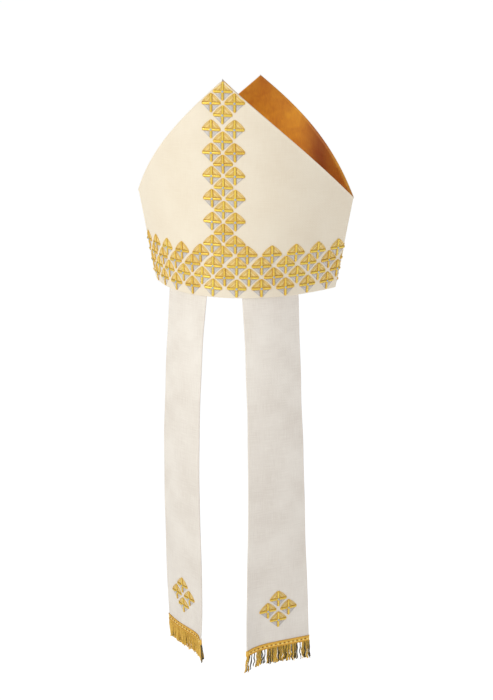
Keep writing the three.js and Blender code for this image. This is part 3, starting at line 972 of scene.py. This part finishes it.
def laid_thread():
    """One laid thread, of unit length, width and height, tapering to the cloth at its ends."""
    points = [(-0.5, 0, 0.1), (0.5, 0, 0.1)]
    faces = []
    for x in (-0.45, 0.45):
        points += [(x, -0.5, -0.3), (x, 0.5, -0.3), (x, 0.22, 1), (x, -0.22, 1)]
    for i in range(4):
        j = (i + 1) % 4
        faces += [(2 + i, 2 + j, 6 + j, 6 + i), (0, 2 + j, 2 + i), (1, 6 + i, 6 + j)]
    mesh = bpy.data.meshes.new("laid thread")
    mesh.from_pydata(points, [], faces)
    return hidden_part("laid_thread", outward(mesh))


def outward(mesh):
    body = bmesh.new()
    body.from_mesh(mesh)
    bmesh.ops.recalc_face_normals(body, faces=body.faces)
    body.to_mesh(mesh)
    body.free()
    return mesh


def round_knot(name, radius, height):
    """A low round knot or bobble, seated on the cloth."""
    mesh = bpy.data.meshes.new(name)
    body = bmesh.new()
    bmesh.ops.create_uvsphere(body, u_segments=10, v_segments=6, radius=radius)
    bmesh.ops.scale(body, vec=(1, 1, height / radius), verts=body.verts)
    body.to_mesh(mesh)
    body.free()
    return hidden_part(name, mesh)


def joined(name, meshes):
    """Several worked meshes as one part."""
    body = bmesh.new()
    for mesh in meshes:
        body.from_mesh(mesh)
    whole = bpy.data.meshes.new(name)
    body.to_mesh(whole)
    body.free()
    return hidden_part(name, whole)


def turned_mesh(mesh, angle):
    """The same mesh turned about z."""
    copy = mesh.copy()
    points = read_points(copy)
    c, s = math.cos(angle), math.sin(angle)
    x, y = points[:, 0] * c - points[:, 1] * s, points[:, 0] * s + points[:, 1] * c
    write_points(copy, np.stack([x, y, points[:, 2]], -1))
    return copy


def read_points(mesh):
    points = np.zeros(len(mesh.vertices) * 3)
    mesh.vertices.foreach_get("co", points)
    return points.reshape(-1, 3)


def write_points(mesh, points):
    mesh.vertices.foreach_set("co", points.astype(np.float32).ravel())
    mesh.update()


def diamond_parts():
    """The parts of one worked diamond, each in its own thread: name, part, finish and lift."""
    wide, tall = DIAMOND_WIDE / 2, DIAMOND_TALL / 2
    nothing = points_mesh([(0, 0, 0)])
    bar = {"width": BAR_WIDE, "height": BAR_HIGH, "stitch": BAR_STITCH,
           "material": GOLD_BAR}
    level = grow(SATIN_BAR, nothing, length=DIAMOND_WIDE, **bar)
    upright = turned_mesh(grow(SATIN_BAR, nothing, length=DIAMOND_TALL, **bar),
                          math.pi / 2)
    write_points(upright, read_points(upright) + [0, BAR_RISE, 0])
    depth = tall / math.sqrt(2)
    laid = {"thread": laid_thread(), "margin": LAID_MARGIN, "stitch": LAID_STITCH,
            "height": LAID_HIGH, "reach": DIAMOND_TALL / math.sqrt(2),
            "stretch": wide / tall}
    upper = grow(LAID_PAIR, nothing, turn=0.0, seed=3, material=GOLD_LAID,
                 depth=depth * UPPER_FULLNESS, **laid)
    lower = grow(LAID_PAIR, nothing, turn=math.pi, seed=4, material=SILVER_LAID,
                 depth=depth * LOWER_FULLNESS, **laid)
    outline = OUTLINE_HALF + [(-x, y) for x, y in OUTLINE_HALF[-2::-1]]
    edge = grow(CORD, line_mesh([(x * wide, y * tall, OUTLINE_LIFT) for x, y in outline]),
                radius=OUTLINE_RADIUS, twist=OUTLINE_TWIST, step=0.6 * MM,
                material=GOLD_OUTLINE)
    knot = round_knot("knot", KNOT_RADIUS, KNOT_HIGH)
    return [("gold_bars", joined("bars", [level, upright]), GOLD_BAR, BAR_LIFT),
            ("gold_filling", hidden_part("upper", upper), GOLD_LAID, 0),
            ("gold_outline", hidden_part("edge", edge), GOLD_OUTLINE, 0),
            ("silver_filling", hidden_part("lower", lower), SILVER_LAID, 0),
            ("silver_knots", knot, SILVER_KNOT, BAR_HIGH)]


def panel_diamonds(panel):
    """Middles of a panel's diamonds on the flat cloth: the column, then the band."""
    places = []
    top = panel.tip - COLUMN_BELOW_TIP
    below = COLUMN_BELOW_TIP + BAND_FOOT + (BAND_ROWS - 1) * BAND_ROW
    ease = (panel.tip - below) / (BACK.tip - below)
    for row in range(COLUMN_PAIRS):
        fallen = row * COLUMN_UP
        centre = fallen + (COLUMN_BREAK if row > 1 else 0)
        pair = fallen + COLUMN_UP / 2 + (COLUMN_BREAK if row > 0 else 0)
        places += [(COLUMN_SHIFT, top - centre * ease),
                   (COLUMN_SHIFT - COLUMN_ACROSS / 2, top - pair * ease),
                   (COLUMN_SHIFT + COLUMN_ACROSS / 2, top - pair * ease)]
    for row in range(BAND_ROWS):
        up = BAND_FOOT + row * BAND_ROW
        shift = BAND_SHIFT + (TOP_ROW_SHIFT if row == BAND_ROWS - 1 else 0)
        count = 2 * BAND_HALF_COUNT + (2 if row % 2 == 0 else 1)
        for i in range(count):
            along = shift + (i - (count - 1) / 2) * BAND_ACROSS
            places.append((along - BAND_EASE * math.sin(math.pi * along / HALF_PANEL), up))
    return places


def lappet_diamonds():
    """The four diamonds near a lappet's lower edge, measured up from it."""
    reach = LAPPET_DIAMOND_PITCH / 2
    middle = LAPPET_DIAMOND_HEIGHT
    return [(0, middle + reach), (-reach, middle), (reach, middle), (0, middle - reach)]


def wrapped(name, mesh, surface):
    """Lay a flat worked mesh onto its shaped cloth, as a piece of its own. It keeps how far
    down its sides each point lies, from 0 at its top to 1 at the cloth."""
    flat = read_points(mesh)
    # The thread finishes read this to paint shade down the threads' sides
    sunk = 1 - np.clip(flat[:, 2] / flat[:, 2].max(), 0, 1)
    mesh.attributes.new("sunk", "FLOAT", "POINT").data.foreach_set("value", sunk)
    write_points(mesh, surface(flat))
    mesh.name = name
    return shown(name, mesh)


def cut_at_seams(mesh):
    """Trim what is worked past the side seams, which flare with the panel."""
    body = bmesh.new()
    body.from_mesh(mesh)
    for side in (-1, 1):
        lean = Vector((side * FLARE_DEPTH, -HALF_PANEL, 0)).normalized()
        cut = bmesh.ops.bisect_plane(
            body, geom=body.verts[:] + body.edges[:] + body.faces[:], dist=1e-7,
            plane_co=(side * (HALF_PANEL - SEAM_ALLOWANCE), 0, 0), plane_no=lean,
            clear_outer=True)
        edges = [e for e in cut["geom_cut"] if isinstance(e, bmesh.types.BMEdge)]
        bmesh.ops.holes_fill(body, edges=edges, sides=0)
    body.to_mesh(mesh)
    body.free()
    return mesh


def embroider(prefix, places, surface, seed, trim=None):
    """Work every part of the diamonds at these places, and wrap them onto the cloth."""
    pieces = []
    for label, part, finish, lift in DIAMOND_PARTS:
        points = points_mesh([(x, y, lift) for x, y in places])
        mesh = grow(SET_OUT, points, part=part, unevenness=HAND_UNEVENNESS, seed=seed,
                    material=finish)
        if trim:
            mesh = trim(mesh)
        pieces.append(wrapped(f"{prefix}_{label}", mesh, surface))
    return pieces


def tip_thread(panel):
    points = [(x * MM, panel.tip + y * MM, lift * MM) for x, y, lift in TIP_THREAD]
    mesh = grow(CORD, line_mesh(points), radius=TIP_THREAD_RADIUS, twist=TIP_THREAD_TWIST,
                step=0.3 * MM, material=SEWING_THREAD)
    return wrapped(panel.name + "_tip_thread", mesh, on_panel(panel))


def on_panel(panel):
    """Wraps flat places, measured from the rim and the panel's middle, onto its face."""
    def surface(flat):
        x, y, lift = flat.T
        arc = x / (1 + y / FLARE_DEPTH)
        raised = lift + panel_unevenness(panel, arc / HALF_PANEL, y)
        return panel_point(panel, arc, y, -raised)
    return surface


def on_lappet(lappet):
    """Wraps flat places, measured from the lower edge and the centre line, onto its face."""
    def surface(flat):
        x, y, lift = flat.T
        return hanging_point(lappet, 1 - y / LAPPET_DROP, x * lappet.side, -lift)
    return surface


def heading_pieces(lappet, surface):
    """Woven heading: a padded band with a twisted cord at each edge and a row of bobbles."""
    name = f"fringe_{lappet.name}_"
    reach = LAPPET_BOTTOM / 2 + HEADING_OVERHANG
    across = 2 * fine_ends(60, 0.008) - 1
    down = fine_ends(6, 0.06)

    def at(u, v, layer):
        from_end = (1 - np.abs(u)) * reach
        from_edge = np.minimum(from_end, np.minimum(v, 1 - v) * HEADING_HIGH)
        half = HEADING_THICK / 2 * rounded(from_edge, HEADING_THICK / 2)
        ribs = HEADING_RIBS * np.sin(u * reach / HEADING_RIB_LENGTH) * (half > 0.5 * MM)
        lift = -LAPPET_WALL / 2 + (1 - 2 * layer) * (half + ribs)
        flat = np.stack([u * reach, HEADING_LAP - v * HEADING_HIGH, lift], -1)
        points = surface(flat.reshape(-1, 3)).reshape(flat.shape)
        return points, flat[..., :2]

    band = closed_sheet(name + "heading", across, down, at, HEADING_GOLD)
    lift = HEADING_THICK / 2 - LAPPET_WALL / 2
    end = reach - EDGING_SHORT
    cords = [grow(CORD, line_mesh([(x, y, lift) for x in np.linspace(-end, end, 60)]),
                  radius=EDGING_RADIUS, twist=EDGING_TWIST, step=0.4 * MM,
                  material=HEADING_GOLD)
             for y in EDGING_PLACES]
    edging = wrapped(name + "edging", joined("edging", cords).data, surface)
    edging.data.materials.append(HEADING_GOLD)
    count = int(2 * reach / BOBBLE_PITCH)
    middle = HEADING_LAP - HEADING_HIGH / 2
    places = [((i - (count - 1) / 2) * BOBBLE_PITCH, middle, lift + BOBBLE_LIFT)
              for i in range(count)]
    between = [(x + BOBBLE_PITCH / 2, y, z) for x, y, z in places[:-1]]
    pieces = [band, edging]
    for label, spots, part, seed, finish in (
            ("bobbles", places, BOBBLE, 8, BOBBLE_GOLD),
            ("ties", between, TIE_STITCH, 9, HEADING_STITCH)):
        row = grow(SET_OUT, points_mesh(spots), part=part, unevenness=HEADING_UNEVENNESS,
                   seed=seed, material=finish)
        pieces.append(wrapped(name + label, row, surface))
    return pieces


def fringe_pieces(lappet, surface):
    """Bullion cords in locks: gold ones at the front and back, with dark cords between as painted
    shade.
    """
    on_right = lappet.side > 0
    reach = LAPPET_BOTTOM / 2 + HEADING_OVERHANG - CORD_RADIUS
    start = CORD_START - HEADING_HIGH
    behind = 0 if on_right else SHADE_CORDS_BEHIND
    draw = np.random.default_rng(30 + lappet.side)
    gold, shade_cord_places = [], []
    count = round(2 * reach / LOCK_WIDE)
    for i in range(count):
        middle = -reach + (i + 0.5) * 2 * reach / count
        missing = draw.random() < thinness(lappet, middle / reach)
        wobble = draw.uniform(-CORD_WOBBLE, CORD_WOBBLE, 6)
        if missing:
            shade_cord_places.append((middle + wobble[0], start, LOOSE_CORD_LIFT))
            continue
        for (aside, lift), stray in zip(GOLD_IN_LOCK, wobble):
            gold.append((middle + aside * LOCK_WIDE + stray, start, lift))
        # Dark cords set between the gold ones are painted shade, not tarnish
        for (aside, lift), stray in zip(SHADE_CORDS_IN_LOCK, wobble[len(GOLD_IN_LOCK):]):
            shade_cord_places.append((middle + aside * LOCK_WIDE + stray, start, lift - behind))
    pieces = []
    for label, places, finish, seed in (("gold_cords", gold, BULLION, 31),
                                        ("dull_cords", shade_cord_places, BULLION_SHADE, 47)):
        mesh = grow(HANGING_CORDS, points_mesh(places), cord=FRINGE_CORD, swing=CORD_SWING,
                    sway=SWAY, lock=1 / SWAY_LENGTH, length=-CORD_LENGTH, seed=seed,
                    material=finish)
        points = read_points(mesh)
        if on_right:
            fallen = start - points[:, 1]
            share = points[:, 0] / reach
            points[:, 1] = start - fallen * (1 - WORN_SHORT * (1 - share) / 2)
            points[:, 0] -= END_SPLAY * fallen / CORD_LENGTH * np.clip(-share, 0, 1) ** 6
            write_points(mesh, points)
        pieces.append(wrapped(f"fringe_{lappet.name}_{label}", mesh, surface))
    return pieces


def thinness(lappet, share):
    """Chance that a lock is worn away, from -1 at the fringe's left end to 1 at its right."""
    worn = WORN_ANYWHERE + sum(chance for left, right, chance in WORN_STRETCHES
                               if left < share < right)
    return worn * (1 if lappet.side > 0 else LEFT_WORN)


DIAMOND_PARTS = diamond_parts()
BOBBLE = round_knot("bobble", BOBBLE_RADIUS, BOBBLE_HIGH)
TIE_STITCH = round_knot("tie_stitch", TIE_RADIUS, TIE_HIGH)
FRINGE_CORD = hidden_part("fringe_cord", grow(
    CORD, line_mesh([(0, 0, 0), (0, -CORD_LENGTH, 0)]), radius=CORD_RADIUS,
    twist=CORD_TWIST, step=0.5 * MM, material=BULLION))


# Assembly ----------------------------------------------------------------------------------

def settle(piece):
    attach(piece, "root")
    return piece


def build_panel(panel):
    cloth = settle(panel_piece(panel))
    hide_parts(panel.name + "_panel")
    work = embroider(panel.name, panel_diamonds(panel), on_panel(panel), 17, cut_at_seams)
    for piece in work:
        settle(piece)
    thread = settle(tip_thread(panel))
    panel_area(panel)


def panel_area(panel):
    """Flat area of the five-sided shape that a panel is cut to."""
    height = edge_height(panel, np.linspace(-1, 1, 301))
    return float(np.mean(height * (1 + height / 2 / FLARE_DEPTH)) * 2 * HALF_PANEL)


def build_lining():
    lining = settle(lining_piece())
    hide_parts("crown_lining")


def build_lappet(lappet):
    surface = on_lappet(lappet)
    cloth = settle(lappet_piece(lappet))
    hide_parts("lappet_" + lappet.name)
    trim = embroider("lappet_" + lappet.name, lappet_diamonds(), surface, 29)
    heading = heading_pieces(lappet, surface)
    cords = fringe_pieces(lappet, surface)
    for piece in trim + heading + cords:
        settle(piece)
    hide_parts("fringe_" + lappet.name)


def soft_light(name, place, aim, size, spread, power, colour):
    data = bpy.data.lights.new(name, "AREA")
    data.spread = spread
    data.shape = "DISK"
    data.size = size
    data.energy = power
    data.color = linear(colour)[:3]
    light = bpy.data.objects.new(name, data)
    light.location = place
    light.rotation_euler = (Vector(aim) - Vector(place)).to_track_quat("-Z", "Y").to_euler()
    bpy.context.scene.collection.objects.link(light)


def build_studio():
    """A pale floor under the hanging lappets, broad soft lights and a bright room."""
    reach = FLOOR_REACH
    low = cad_box[0][2] - FLOOR_BELOW
    floor_mesh = bpy.data.meshes.new("floor")
    floor_mesh.from_pydata([(-reach, -reach, low), (reach, -reach, low), (reach, reach, low),
                            (-reach, reach, low)], [], [(0, 1, 2, 3)])
    paint = new_finish("matt white floor paint", Roughness=0.9,
                       Specular_IOR_Level=0.1, Base_Color=linear("#fbfbfa"),
                       Emission_Color=linear("#ffffff"), Emission_Strength=0.6)[0]
    paint.cycles.emission_sampling = "NONE"
    floor_mesh.materials.append(paint)
    shown("floor", floor_mesh)
    world = bpy.data.worlds.new("bright room")
    world.use_nodes = True
    background = world.node_tree.nodes["Background"]
    background.inputs["Color"].default_value = linear("#f7f8fa")
    background.inputs["Strength"].default_value = 0.46
    bpy.context.scene.world = world
    for light in LIGHTS:
        soft_light(*light)


def build_camera():
    """Behind the wearer, a little to the right and above, as one looks down a tall hat."""
    data = bpy.data.cameras.new("camera")
    data.sensor_fit = "VERTICAL"
    data.sensor_height = 24
    data.lens = LENS
    camera = bpy.data.objects.new("camera", data)
    turned = Matrix.Rotation(CAMERA_AZIMUTH, 3, "Z")
    camera.location = turned @ Vector(CAMERA_PLACE)
    tilted = turned @ Matrix.Rotation(math.pi / 2 - CAMERA_TILT, 3, "X")
    camera.rotation_euler = (tilted @ Matrix.Rotation(CAMERA_ROLL, 3, "Z")).to_euler()
    bpy.context.scene.collection.objects.link(camera)
    bpy.context.scene.camera = camera


build_camera()
build_studio()
for each_panel in (BACK, FRONT):
    build_panel(each_panel)
build_lining()
for each_lappet in LAPPETS:
    build_lappet(each_lappet)

bpy.context.scene.view_settings.view_transform = "Standard"
bpy.context.view_layer.update()
